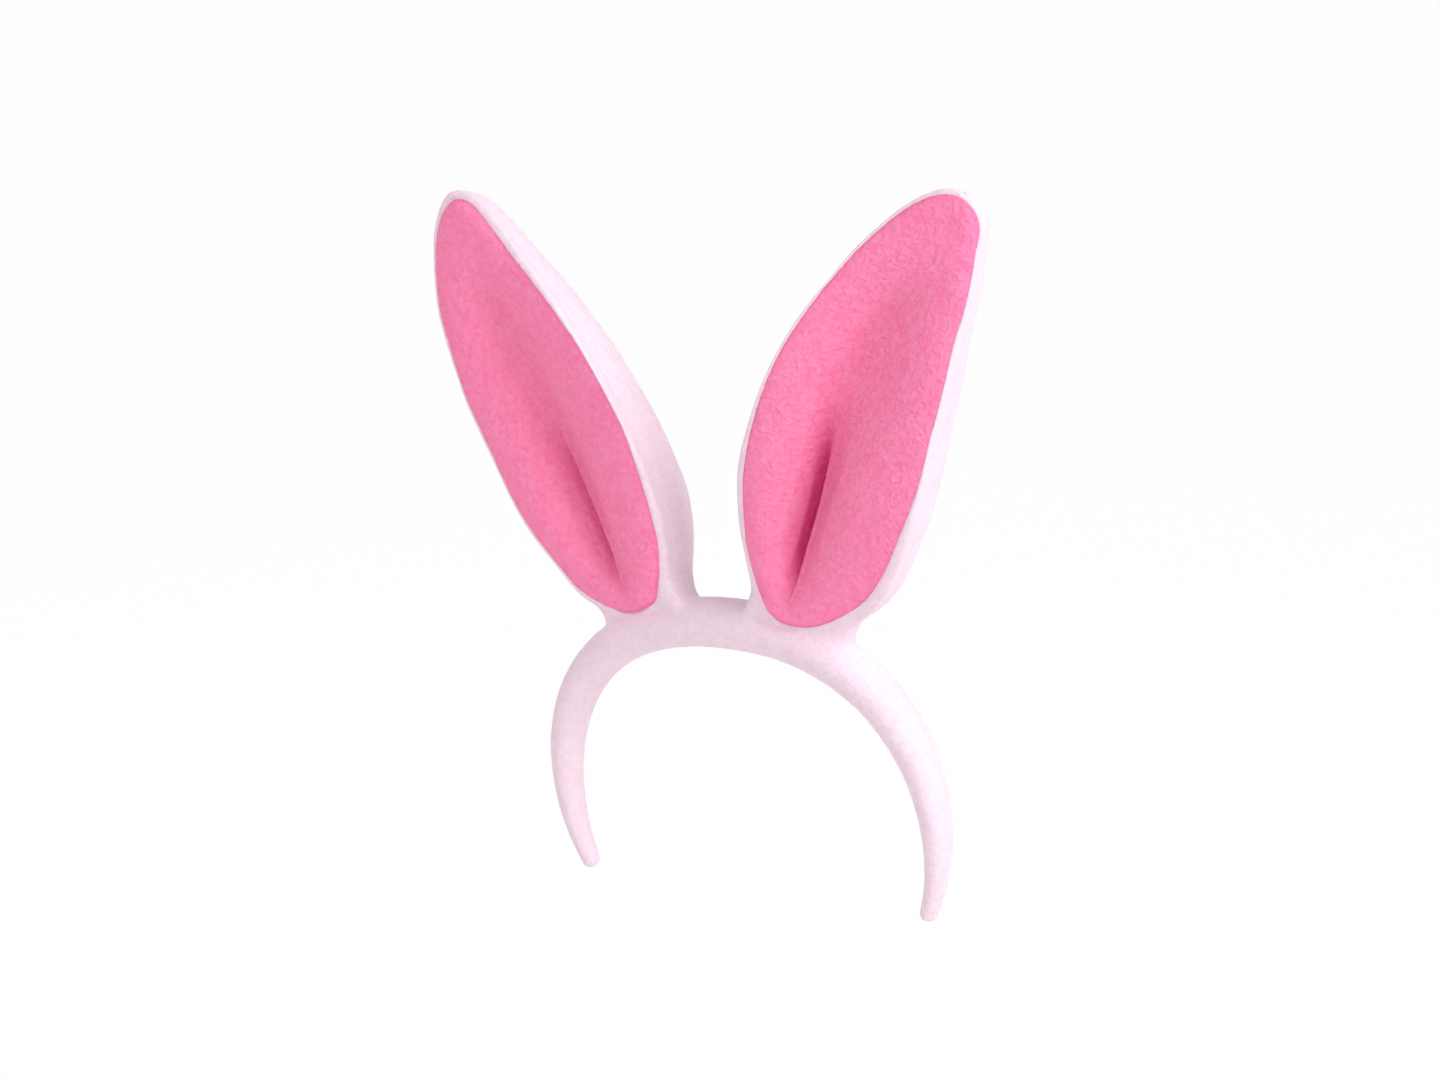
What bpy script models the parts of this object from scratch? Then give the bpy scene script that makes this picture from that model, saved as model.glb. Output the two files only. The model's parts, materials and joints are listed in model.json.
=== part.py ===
"""Rabbit-ear headband: a padded spring hoop with two stuffed plush ears on bendable wires.

Metres, +Z up. The origin is the underside of the crown, where it rests on the head.
The ears' linings face -Y, and +X is the wearer's left.
"""
import math

import bmesh
import bpy
from mathutils import Matrix, Vector

# Hoop centre line, a curve from the crown down to each tip
CROWN_HANDLE = 0.0698
TIP_HALF_SPAN = 0.0679
TIP_DROP = 0.0912
TIP_HANDLE = 0.0373
TIP_TOE_IN = math.radians(23.7)

# Hoop section over the plush, tapering from crown to tip
CROWN_THICKNESS = 0.0161
CROWN_DEPTH = 0.0205
TIP_THICKNESS = 0.0057
TIP_DEPTH = 0.0068
HOOP_TAPER = 1.54

# Hoop layers
COVER_WALL = 0.0012
STRIP_WIDTH = 0.0040
STRIP_THICKNESS = 0.0008
STRIP_SLOT_ROOM = 0.0005
BORE_SQUARENESS = 2.6
CAP_WALL = 0.0006
CAP_GRIP = 0.0100
ARM_SPLIT_MARGIN = 0.0080

# Ear placing, from its pivot on the hoop's centre line
EAR_SPACING = 0.0448
EAR_LEAN = math.radians(27.9)
EAR_BASE = 0.0089
EAR_FORWARD = 0.0042
EAR_BOW = 0.0065
EAR_CUP = 0.0034
MEDIAL_CUP = 0.0067
CUP_HEIGHT = 0.0974
ROOT_SWEEP = 0.0060
SWEEP_HEIGHT = 0.0550

# Ear outline: each side's half width follows sin(pi t^belly)^fullness up the lining
LINING_LENGTH = 0.1514
MEDIAL_WIDTH = 0.0301
MEDIAL_BELLY = 0.841
MEDIAL_FULLNESS = 0.615
LATERAL_WIDTH = 0.0281
LATERAL_BELLY = 0.678
LATERAL_FULLNESS = 0.453
MEDIAL_RIM = 0.0027
LATERAL_RIM = 0.0012
TIP_RIM = 0.0020
RIM_ROLL = 0.0025
NECK_MEDIAL = 0.0131
NECK_LATERAL = 0.0179
NECK_FADE = 0.0600
NECK_BLEND = 5
ROOT_FLARE = 0.0050

# Ear depth behind the seam
ROOT_DEPTH = 0.0178
BELLY_DEPTH = 0.0307
TIP_SHELL_DEPTH = 0.0076
BELLY_HEIGHT = 0.0355
TIP_ROUND = 0.0100
BACK_SQUARENESS = 2.95
BACK_FALL = 0.8

# Lining: a shallow hollow with a sewn tuck in its lower half
LINING_THICKNESS = 0.0020
LINING_REVEAL = 0.0008
HOLLOW_DEPTH = 0.0022
TUCK_DEPTH = 0.0062
TUCK_FOOT = 0.0100
TUCK_LENGTH = 0.0850
TUCK_WIDTH = 0.0150
TUCK_OFFSET = 0.0030
TUCK_SHARPNESS = 1.5
TUCK_EDGE_FADE = 4

# Ear wire
WIRE_DIAMETER = 0.0016
WIRE_BACKSET = 0.0017
WIRE_TIP_GAP = 0.0120
LEG_SPACING = 0.0110
LEG_STANDOFF = 0.0035
LEG_SPREAD = 0.0040
WRAP_TURNS = 2
WRAP_PITCH = 0.0024
WRAP_SQUARENESS = 4

# Fits
GAP = 0.0003
SADDLE_GAP = 0.0003
HOLE_ROOM = 0.0006
FILL_ROOM = 0.0018
CUT_OVERRUN = 0.0060

# Facets
HOOP_SIDES = 18
CROWN_STATIONS = 15
ARM_STATIONS = 12
DOME_STEPS = 3
STRIP_STATIONS = 48
EAR_SIDES = 20
EAR_STATIONS = 20
LINING_STATIONS = 18
LINING_COLUMNS = 10
LOOP_POINTS = 17
TURN_POINTS = 10
SADDLE_SIDES = 48
HOLE_SIDES = 8
WELD_DISTANCE = 0.00001

SIDES = {"left": 1, "right": -1}
BACKWARD = Vector((0, 1, 0))

# Sizes worked out from the ones above
EAR_WALL = TIP_RIM - GAP
SADDLE_RADIUS = CROWN_DEPTH / 2 + SADDLE_GAP
LINING_TOP = EAR_BASE + LINING_LENGTH
WIRE_RADIUS = WIRE_DIAMETER / 2
WIRE_INSET = WIRE_RADIUS + 2 * GAP
STUFFING_INSET = WIRE_RADIUS + 2 * GAP
WIRE_SETBACK = LINING_THICKNESS + WIRE_RADIUS + WIRE_BACKSET
WRAP_OUT = STRIP_THICKNESS / 2 + WIRE_RADIUS + 2 * GAP
WRAP_DEEP = STRIP_WIDTH / 2 + WIRE_RADIUS + 2 * GAP
BORE_OUT = WRAP_OUT + WIRE_RADIUS + 2 * GAP
BORE_DEEP = WRAP_DEEP + WIRE_RADIUS + 2 * GAP
LEG_TOP = SADDLE_RADIUS + LEG_STANDOFF
LOOP_FOOT = LEG_TOP + LEG_SPREAD
LOOP_TOP = LINING_TOP - WIRE_TIP_GAP

PLUSH = ("white_plush", (0.90, 0.80, 0.86), 0.95, 0.0)
PINK = ("pink_plush", (0.89, 0.22, 0.40), 0.95, 0.0)
FOAM = ("pale_foam", (0.85, 0.82, 0.70), 0.95, 0.0)
FIBRE = ("fibre_fill", (0.92, 0.92, 0.90), 1.0, 0.0)
SPRING = ("spring_steel", (0.45, 0.46, 0.48), 0.35, 1.0)
WIRE = ("soft_wire", (0.60, 0.61, 0.63), 0.40, 1.0)
CAP = ("cap_plastic", (0.80, 0.80, 0.80), 0.50, 0.0)


def lerp(a, b, t):
    return a + (b - a) * t


def spread(first, last, count):
    return [lerp(first, last, i / (count - 1)) for i in range(count)]


def bisect(rising, low, high):
    """The place where a rising function passes zero."""
    for _ in range(60):
        middle = (low + high) / 2
        low, high = (low, middle) if rising(middle) > 0 else (middle, high)
    return low


def rounded(angle, power):
    """Cosine and sine on a superellipse of the given power."""
    pair = (math.cos(angle), math.sin(angle))
    return [math.copysign(abs(value) ** (2 / power), value) for value in pair]


# Hoop curve

def centre(s):
    """Point of the centre line, with s from -1 at the right tip to 1 at the left tip."""
    a = abs(s)
    tip = Vector((TIP_HALF_SPAN, 0, -TIP_DROP))
    pull = TIP_HANDLE * Vector((math.sin(TIP_TOE_IN), 0, math.cos(TIP_TOE_IN)))
    knots = (Vector(), Vector((CROWN_HANDLE, 0, 0)), tip + pull, tip)
    weights = ((1 - a) ** 3, 3 * a * (1 - a) ** 2, 3 * a * a * (1 - a), a ** 3)
    point = sum((w * k for w, k in zip(weights, knots)), Vector((0, 0, CROWN_THICKNESS / 2)))
    return Vector((math.copysign(point.x, s), 0, point.z))


def tangent(s):
    step = 0.001
    return (centre(s + step) - centre(s - step)).normalized()


def outward(s):
    along = tangent(s)
    return Vector((-along.z, 0, along.x))


def travel(s, distance):
    """The station a given distance along the centre line from s, towards the left tip."""
    steps = 40
    for _ in range(steps):
        speed = (centre(s + 0.001) - centre(s - 0.001)).length / 0.002
        s += distance / steps / speed
    return s


def half_section(s):
    taper = abs(s) ** HOOP_TAPER
    thickness = lerp(CROWN_THICKNESS, TIP_THICKNESS, taper)
    depth = lerp(CROWN_DEPTH, TIP_DEPTH, taper)
    return thickness / 2, depth / 2


EAR_STATION = bisect(lambda s: centre(s).x - EAR_SPACING / 2, 0.001, 0.5)
SPLIT_STATION = travel(EAR_STATION, NECK_LATERAL + ARM_SPLIT_MARGIN)


def strip_end():
    """The last station where the strip and its cap still fit inside the cover."""
    layers = COVER_WALL + 2 * GAP + CAP_WALL

    def shortage(s):
        thick, deep = half_section(s)
        return max(STRIP_THICKNESS / 2 + layers - thick, STRIP_WIDTH / 2 + layers - deep)
    return bisect(shortage, SPLIT_STATION, 1)


STRIP_END = strip_end()
CAP_START = travel(STRIP_END, -CAP_GRIP)


def oval(s, half_thick, half_deep, sides, shift=0, power=2):
    """A ring round the centre line at s, moved along it by shift."""
    middle = centre(s) + tangent(s) * shift
    ring = []
    for i in range(sides):
        c, k = rounded(2 * math.pi * i / sides, power)
        ring.append(middle + outward(s) * half_thick * c + BACKWARD * half_deep * k)
    return ring


def hoop_rings(first, last, inset, stations, domed=False):
    """Rings of the hoop's outside, drawn in by inset, with a round end at the tip if domed."""
    rings = []
    for s in spread(first, last, stations):
        thick, deep = half_section(s)
        rings.append(oval(s, thick - inset, deep - inset, HOOP_SIDES))
    if domed:
        thick, deep = (value - inset for value in half_section(last))
        for i in range(1, DOME_STEPS + 1):
            angle = math.pi / 2 * i / (DOME_STEPS + 0.5)
            shrink = math.cos(angle)
            reach = math.copysign(thick * math.sin(angle), last)
            rings.append(oval(last, thick * shrink, deep * shrink, HOOP_SIDES, reach))
    return rings


def strip_rings(first, last, clearance, stations):
    half_thick = STRIP_THICKNESS / 2 + clearance
    half_deep = STRIP_WIDTH / 2 + clearance
    rings = []
    for s in spread(first, last, stations):
        corners = ((1, 1), (-1, 1), (-1, -1), (1, -1))
        rings.append([centre(s) + outward(s) * half_thick * c + BACKWARD * half_deep * k
                      for c, k in corners])
    return rings


# Ear surfaces, in the ear's own axes: u away from the centre plane, y backward, v up the ear

def leaf(u_sign, v, sideways=0, upward=None):
    """Half width of the lining's outline on one side, grown sideways and at both ends."""
    medial = u_sign < 0
    width = MEDIAL_WIDTH if medial else LATERAL_WIDTH
    belly = MEDIAL_BELLY if medial else LATERAL_BELLY
    fullness = MEDIAL_FULLNESS if medial else LATERAL_FULLNESS
    grown = sideways if upward is None else upward
    t = (v - EAR_BASE + grown) / (LINING_LENGTH + 2 * grown)
    t = min(max(t, 0), 1)
    return (width + sideways) * abs(math.sin(math.pi * t ** belly)) ** fullness


def body_half_width(u_sign, v, inset):
    """Half width of the plush body: the outline and its rim, widened to the neck at the root."""
    root = NECK_MEDIAL if u_sign < 0 else NECK_LATERAL
    neck = (root - inset) * max(0, 1 - max(0, v - EAR_BASE) / NECK_FADE)
    rim = MEDIAL_RIM if u_sign < 0 else LATERAL_RIM
    outline = leaf(u_sign, v, lerp(rim, GAP, inset / EAR_WALL), TIP_RIM - inset)
    return (outline ** NECK_BLEND + neck ** NECK_BLEND) ** (1 / NECK_BLEND)


def body_depth(v, inset):
    """Depth behind the seam, from the root over the belly to the round tip."""
    height = v - EAR_BASE
    if height < BELLY_HEIGHT:
        rise = math.sin(math.pi / 2 * max(0, height / BELLY_HEIGHT))
        depth = lerp(ROOT_DEPTH, BELLY_DEPTH, rise)
    else:
        fall = min(1, (height - BELLY_HEIGHT) / (LINING_LENGTH - BELLY_HEIGHT))
        depth = lerp(TIP_SHELL_DEPTH, BELLY_DEPTH, math.cos(math.pi / 2 * fall) ** BACK_FALL)
    return (depth - inset) * round_off(v, inset)


def round_off(v, inset):
    past = (v - body_top(inset) + TIP_ROUND) / TIP_ROUND
    return math.sqrt(max(0, 1 - max(0, past) ** 2))


def body_top(inset):
    return LINING_TOP + TIP_RIM - inset


def seam(u, v):
    """The seam's place from front to back.

    The ear bows back, its edges cup forward, the inner edge most, and the outer edge sweeps
    back at the root.
    """
    height = max(0, v - EAR_BASE)
    bow = EAR_BOW * (height / LINING_LENGTH) ** 2
    if u > 0:
        risen = math.sin(math.pi / 2 * min(1, height / SWEEP_HEIGHT))
        cup = lerp(-ROOT_SWEEP, EAR_CUP, risen)
    else:
        risen = math.sin(math.pi / 2 * min(1, height / CUP_HEIGHT))
        cup = lerp(EAR_CUP, MEDIAL_CUP, risen)
    return bow - cup * (u / LATERAL_WIDTH) ** 2 - EAR_FORWARD


def lining_front(u, v):
    """The lining's face, measured back from the seam."""
    reach = leaf(u, v)
    across = min(1, abs(u) / reach) if reach else 1
    height = v - EAR_BASE
    up = min(max(height / LINING_LENGTH, 0), 1)
    hollow = HOLLOW_DEPTH * (1 - across ** 2) * math.sin(math.pi * up)
    along = (height - TUCK_FOOT) / TUCK_LENGTH
    tuck = math.sin(math.pi * math.sqrt(along)) if 0 < along < 1 else 0
    nearness = max(0, 1 - abs(u + TUCK_OFFSET) / TUCK_WIDTH)
    edge_fade = 1 - across ** TUCK_EDGE_FADE
    return hollow + TUCK_DEPTH * tuck * nearness ** TUCK_SHARPNESS * edge_fade - LINING_REVEAL


def bent(u, y, v, side):
    return Vector((side * u, y + seam(u, v), v))


def body_ring(v, inset, side, front):
    """Section of the plush body: square-shouldered at the back, rolled or flat at the front."""
    ring = []
    for i in range(EAR_SIDES):
        angle = 2 * math.pi * (i + 0.5) / EAR_SIDES
        at_back = math.sin(angle) > 0
        c, k = rounded(angle, BACK_SQUARENESS if at_back else 2)
        reach = body_depth(v, inset) if at_back else front
        ring.append(bent(c * body_half_width(c, v, inset), reach * k, v, side))
    return ring


def close_spread(first, last, count):
    """Heights that draw together towards both ends."""
    return [lerp(first, last, (1 - math.cos(turn)) / 2) for turn in spread(0, math.pi, count)]


# Scene helpers

def clear_scene():
    for item in list(bpy.data.objects):
        bpy.data.objects.remove(item, do_unlink=True)


def collection(name):
    made = bpy.data.collections.new(name)
    bpy.context.scene.collection.children.link(made)
    return made


def material(spec):
    name, colour, roughness, metallic = spec
    found = bpy.data.materials.get(name)
    if found:
        return found
    made = bpy.data.materials.new(name)
    made.use_nodes = True
    shader = made.node_tree.nodes["Principled BSDF"]
    shader.inputs["Base Color"].default_value = (*colour, 1)
    shader.inputs["Roughness"].default_value = roughness
    shader.inputs["Metallic"].default_value = metallic
    return made


def loft(name, rings, group):
    """A closed solid through rings of equal point counts."""
    mesh = bpy.data.meshes.new(name)
    shape = bmesh.new()
    loops = [[shape.verts.new(point) for point in ring] for ring in rings]
    count = len(rings[0])
    for low, high in zip(loops, loops[1:]):
        for i in range(count):
            j = (i + 1) % count
            shape.faces.new((low[i], low[j], high[j], high[i]))
    shape.faces.new(loops[0])
    shape.faces.new(loops[-1])
    bmesh.ops.recalc_face_normals(shape, faces=shape.faces)
    shape.to_mesh(mesh)
    shape.free()
    made = bpy.data.objects.new(name, mesh)
    group.objects.link(made)
    return made


def finish(part, spec):
    part.data.materials.append(material(spec))
    part.data.shade_smooth()
    part.data.set_sharp_from_angle(angle=math.radians(40))
    return part


def as_cutter(item):
    item.hide_render = True
    item.display_type = "WIRE"
    return item


def combine(part, other, operation="DIFFERENCE"):
    step = part.modifiers.new(operation.lower(), "BOOLEAN")
    step.operation = operation
    step.object = other


# Hoop

def build_hoop(parts, cutters):
    """Strip, foam and covers; the covers and foam part where the arms flex outward."""
    half_gap = GAP / 2
    crown_end = travel(SPLIT_STATION, -half_gap)
    arm_start = travel(SPLIT_STATION, half_gap)
    overrun = travel(SPLIT_STATION, CUT_OVERRUN)
    foam_inset = COVER_WALL + GAP

    strip = loft("spring_strip", strip_rings(-STRIP_END, STRIP_END, 0, STRIP_STATIONS), parts)
    finish(strip, SPRING)

    crown_cover = loft("crown_cover", hoop_rings(-crown_end, crown_end, 0, CROWN_STATIONS), parts)
    inner_rings = hoop_rings(-overrun, overrun, COVER_WALL, CROWN_STATIONS)
    combine(crown_cover, as_cutter(loft("crown_inside", inner_rings, cutters)))
    finish(crown_cover, PLUSH)

    foam_rings = hoop_rings(-crown_end, crown_end, foam_inset, CROWN_STATIONS)
    crown_foam = loft("crown_foam", foam_rings, parts)
    bore_rings = [oval(s, BORE_OUT, BORE_DEEP, HOOP_SIDES, power=BORE_SQUARENESS)
                  for s in spread(-overrun, overrun, CROWN_STATIONS)]
    combine(crown_foam, as_cutter(loft("crown_bore", bore_rings, cutters)))
    finish(crown_foam, FOAM)

    for label, side in SIDES.items():
        build_arm(label, side, arm_start, foam_inset, parts, cutters)
    return crown_cover, crown_foam


def build_arm(label, side, arm_start, foam_inset, parts, cutters):
    before = travel(SPLIT_STATION, -CUT_OVERRUN)
    foam_end = travel(CAP_START, -GAP)
    slot = strip_rings(side * before, side * STRIP_END, GAP, ARM_STATIONS * 2)
    slot[-1] = [point + tangent(side) * side * GAP for point in slot[-1]]

    cover_rings = hoop_rings(side * arm_start, side, 0, ARM_STATIONS, True)
    cover = loft(f"{label}_arm_cover", cover_rings, parts)
    inner_rings = hoop_rings(side * before, side, COVER_WALL, ARM_STATIONS, True)
    combine(cover, as_cutter(loft(f"{label}_arm_inside", inner_rings, cutters)))
    finish(cover, PLUSH)

    foam_rings = hoop_rings(side * arm_start, side * foam_end, foam_inset, ARM_STATIONS)
    foam = loft(f"{label}_arm_foam", foam_rings, parts)
    after = travel(foam_end, CUT_OVERRUN)
    bore_rings = strip_rings(side * before, side * after, STRIP_SLOT_ROOM, ARM_STATIONS * 2)
    combine(foam, as_cutter(loft(f"{label}_arm_bore", bore_rings, cutters)))
    finish(foam, FOAM)

    cap_rings = hoop_rings(side * CAP_START, side, foam_inset, DOME_STEPS + 2, True)
    cap = loft(f"{label}_tip_cap", cap_rings, parts)
    combine(cap, as_cutter(loft(f"{label}_strip_slot", slot, cutters)))
    finish(cap, CAP)


# Ears

def ear_frame(side):
    """The ear's axes at its pivot: v leans outward from the hoop's centre line."""
    pivot = centre(side * EAR_STATION)
    return Matrix.Translation(pivot) @ Matrix.Rotation(side * EAR_LEAN, 4, "Y")


def saddle_cutter(label, side, radius, cutters):
    """A cylinder about the ear's tilt axis, which the ear's foot clears at every angle."""
    shape = bmesh.new()
    length = 4 * (NECK_MEDIAL + NECK_LATERAL)
    bmesh.ops.create_cone(shape, cap_ends=True, segments=SADDLE_SIDES, radius1=radius,
                          radius2=radius, depth=length)
    mesh = bpy.data.meshes.new(label)
    shape.to_mesh(mesh)
    shape.free()
    made = bpy.data.objects.new(label, mesh)
    cutters.objects.link(made)
    station = side * EAR_STATION
    turn = Vector((0, 0, 1)).rotation_difference(tangent(station)).to_matrix().to_4x4()
    made.matrix_world = Matrix.Translation(centre(station)) @ turn
    return as_cutter(made)


def leg_hole(label, side, u, cutters):
    """A straight hole down one wire leg, from inside the ear to the strip."""
    radius = WIRE_RADIUS + HOLE_ROOM
    rings = []
    for v in (0, LEG_TOP + CUT_OVERRUN):
        ring = []
        for i in range(HOLE_SIDES):
            c, k = rounded(2 * math.pi * (i + 0.5) / HOLE_SIDES, 2)
            ring.append(Vector((side * (u + radius * c), leg_depth() + radius * k, v)))
        rings.append(ring)
    made = loft(label, rings, cutters)
    made.matrix_world = ear_frame(side)
    return as_cutter(made)


def leg_depth():
    return WIRE_SETBACK - EAR_FORWARD


def build_ear(label, side, crown_cover, crown_foam, parts, cutters):
    frame = ear_frame(side)
    pivot = bpy.data.objects.new(f"{label}_ear_pivot", None)
    parts.objects.link(pivot)
    pivot.matrix_world = frame
    bpy.context.view_layer.update()

    def place(made):
        made.parent = pivot
        return made

    saddle = saddle_cutter(f"{label}_ear_saddle", side, SADDLE_RADIUS + GAP, cutters)

    back = place(loft(f"{label}_ear_back", ear_body_rings(0, side, RIM_ROLL), parts))
    hollow = place(as_cutter(loft(f"{label}_ear_hollow", ear_body_rings(EAR_WALL, side, 0), cutters)))
    mouth = place(as_cutter(loft(f"{label}_ear_mouth", mouth_rings(side), cutters)))
    for cutter in (hollow, mouth, saddle):
        combine(back, cutter)
    finish(back, PLUSH)

    lining = place(loft(f"{label}_ear_lining", lining_rings(side), parts))
    combine(lining, saddle)
    finish(lining, PINK)

    stuffing = place(loft(f"{label}_ear_stuffing", stuffing_rings(side), parts))
    finish(stuffing, FIBRE)

    finish(ear_wire(f"{label}_ear_wire", side, frame, parts), WIRE)

    gusset = loft(f"{label}_ear_gusset", gusset_rings(side), parts)
    gusset.matrix_world = frame
    seat = saddle_cutter(f"{label}_gusset_seat", side, SADDLE_RADIUS, cutters)
    combine(gusset, seat, "INTERSECT")
    around_rings = hoop_rings(-SPLIT_STATION, SPLIT_STATION, -GAP, 2 * CROWN_STATIONS)
    combine(gusset, as_cutter(loft(f"{label}_gusset_hoop", around_rings, cutters)))
    for name, u in (("medial", -LEG_SPACING / 2), ("lateral", LEG_SPACING / 2)):
        hole = leg_hole(f"{label}_{name}_leg_hole", side, u, cutters)
        for part in (gusset, crown_cover, crown_foam):
            combine(part, hole)
    finish(gusset, PLUSH)


def ear_body_rings(inset, side, front):
    foot = EAR_BASE - CUT_OVERRUN if front else -CUT_OVERRUN
    heights = close_spread(foot, body_top(inset) - GAP, EAR_STATIONS)
    return [body_ring(v, inset, side, front) for v in heights]


def mouth_rings(side):
    """The opening in the front of the shell, which the lining closes."""
    rings = []
    front, rear = -4 * RIM_ROLL, LINING_THICKNESS
    grown = GAP
    for v in close_spread(EAR_BASE - grown / 2, LINING_TOP + grown / 2, EAR_STATIONS):
        across = spread(-leaf(-1, v, grown), leaf(1, v, grown), LINING_COLUMNS)
        ring = [bent(u, front, v, side) for u in across]
        ring += [bent(u, rear, v, side) for u in reversed(across)]
        rings.append(ring)
    return rings


def columns(low, high):
    """Places across the ear, with one on the tuck."""
    least, most = lerp(low, high, 1 / 3), lerp(low, high, 2 / 3)
    middle = min(max(-TUCK_OFFSET, least), most)
    half = LINING_COLUMNS // 2
    return spread(low, middle, half + 1) + spread(middle, high, half + 1)[1:]


def lining_rings(side):
    rings = []
    end = GAP / 4
    for v in close_spread(EAR_BASE + end, LINING_TOP - end, LINING_STATIONS):
        across = columns(-leaf(-1, v), leaf(1, v))
        ring = [bent(u, lining_front(u, v), v, side) for u in across]
        ring += [bent(u, lining_front(u, v) + LINING_THICKNESS, v, side) for u in reversed(across)]
        rings.append(ring)
    return rings


def stuffing_rings(side):
    """The filling: behind the lining, inside the shell and clear of the wire."""
    rings = []
    behind = LINING_THICKNESS + FILL_ROOM / 2
    clear = 2 * WIRE_DIAMETER
    for v in spread(LOOP_FOOT + clear, LOOP_TOP - clear, LINING_STATIONS - 4):
        across = columns(STUFFING_INSET - loop_reach(-1, v), loop_reach(1, v) - STUFFING_INSET)
        ring = [bent(u, lining_front(u, v) + behind, v, side) for u in across]
        low, high = across[0], across[-1]
        rear = body_depth(v, EAR_WALL + FILL_ROOM)
        for i in range(1, LINING_COLUMNS):
            c, k = rounded(math.pi * i / LINING_COLUMNS, BACK_SQUARENESS)
            u = lerp((low + high) / 2, high if c > 0 else low, abs(c))
            ring.append(bent(u, lerp(behind, rear, k), v, side))
        rings.append(ring)
    return rings


def gusset_rings(side):
    """The root's section carried down to the hoop's centre line, flaring on the way."""
    along = tangent(EAR_STATION)
    skew = math.tan(EAR_LEAN - math.atan2(-along.z, along.x))
    rings = []
    halfway = (EAR_BASE / 2, ROOT_FLARE / 2)
    for rise, flare in ((0, ROOT_FLARE), halfway, (EAR_BASE, 0), (2 * EAR_BASE, 0)):
        ring = []
        for i in range(EAR_SIDES):
            angle = 2 * math.pi * (i + 0.5) / EAR_SIDES
            at_back = math.sin(angle) > 0
            c, k = rounded(angle, BACK_SQUARENESS if at_back else 2)
            reach = ROOT_DEPTH - EAR_WALL if at_back else RIM_ROLL
            u = c * ((NECK_LATERAL if c > 0 else NECK_MEDIAL) - GAP + flare)
            ring.append(Vector((side * u, k * (reach + flare) + seam(u, 0), rise + u * skew)))
        rings.append(ring)
    return rings


def loop_reach(u_sign, v):
    """Half width of the wire loop, which keeps to the seam but closes below the ear's tip."""
    stretched = EAR_BASE + (v - EAR_BASE) * LINING_LENGTH / (LOOP_TOP - EAR_BASE)
    return min(leaf(u_sign, v, -WIRE_INSET), leaf(u_sign, stretched, -WIRE_INSET))


def wire_side(u_sign):
    """One side of the loop, from the top of a leg up to the tip."""
    points = []
    for i in range(LOOP_POINTS):
        v = lerp(LOOP_FOOT, LOOP_TOP - WIRE_DIAMETER, math.sin(math.pi / 2 * i / (LOOP_POINTS - 1)))
        points.append((u_sign * loop_reach(u_sign, v), v))
    return points


def wrap(side, u_sign):
    """A leg's turns round the strip, from the leg outwards along the hoop."""
    points = []
    start = travel(EAR_STATION, u_sign * LEG_SPACING / 2)
    for i in range(WRAP_TURNS * TURN_POINTS + 1):
        turn = i / TURN_POINTS
        s = side * travel(start, u_sign * WRAP_PITCH * turn)
        c, k = rounded(2 * math.pi * turn, WRAP_SQUARENESS)
        points.append(centre(s) + outward(s) * WRAP_OUT * c - BACKWARD * WRAP_DEEP * k)
    return points


def ear_wire(name, side, frame, parts):
    """One wire: turns round the strip, up a leg, round the ear and back down to the strip."""
    def leg(u_sign):
        u = u_sign * LEG_SPACING / 2
        heights = (WRAP_OUT + WIRE_DIAMETER, LEG_TOP / 2, LEG_TOP)
        return [frame @ Vector((side * u, leg_depth(), v)) for v in heights]

    def loop(u_sign):
        return [frame @ bent(u, WIRE_SETBACK, v, side) for u, v in wire_side(u_sign)]

    medial = list(reversed(wrap(side, -1))) + leg(-1) + loop(-1)
    lateral = list(reversed(loop(1))) + list(reversed(leg(1))) + wrap(side, 1)
    route = medial + lateral

    curve = bpy.data.curves.new(name, "CURVE")
    curve.dimensions = "3D"
    curve.bevel_depth = WIRE_RADIUS
    curve.bevel_resolution = 1
    curve.use_fill_caps = True
    spline = curve.splines.new("POLY")
    spline.points.add(len(route) - 1)
    for knot, point in zip(spline.points, route):
        knot.co = (*point, 1)
    drawn = bpy.data.objects.new(f"{name}_route", curve)
    parts.objects.link(drawn)
    depsgraph = bpy.context.evaluated_depsgraph_get()
    mesh = bpy.data.meshes.new_from_object(drawn.evaluated_get(depsgraph))
    shape = bmesh.new()
    shape.from_mesh(mesh)
    bmesh.ops.remove_doubles(shape, verts=shape.verts, dist=WELD_DISTANCE)
    bmesh.ops.recalc_face_normals(shape, faces=shape.faces)
    shape.to_mesh(mesh)
    shape.free()
    bpy.data.objects.remove(drawn, do_unlink=True)
    made = bpy.data.objects.new(name, mesh)
    parts.objects.link(made)
    return made


def main():
    clear_scene()
    parts = collection("rabbit_ear_headband")
    cutters = collection("cutters")
    crown_cover, crown_foam = build_hoop(parts, cutters)
    for label, side in SIDES.items():
        build_ear(label, side, crown_cover, crown_foam, parts, cutters)


if __name__ == "__main__":
    main()
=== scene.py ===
"""Looks of the rabbit-ear headband: a plush skin over the hoop, two stuffed ears and their linings.

Metres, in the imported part's own frame. The ears' linings face -Y, and +X is the wearer's left.
"""
import json
import math

import bmesh
import bpy
import numpy as np
from mathutils import Matrix, Vector, kdtree, noise
from mathutils.bvhtree import BVHTree


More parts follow.
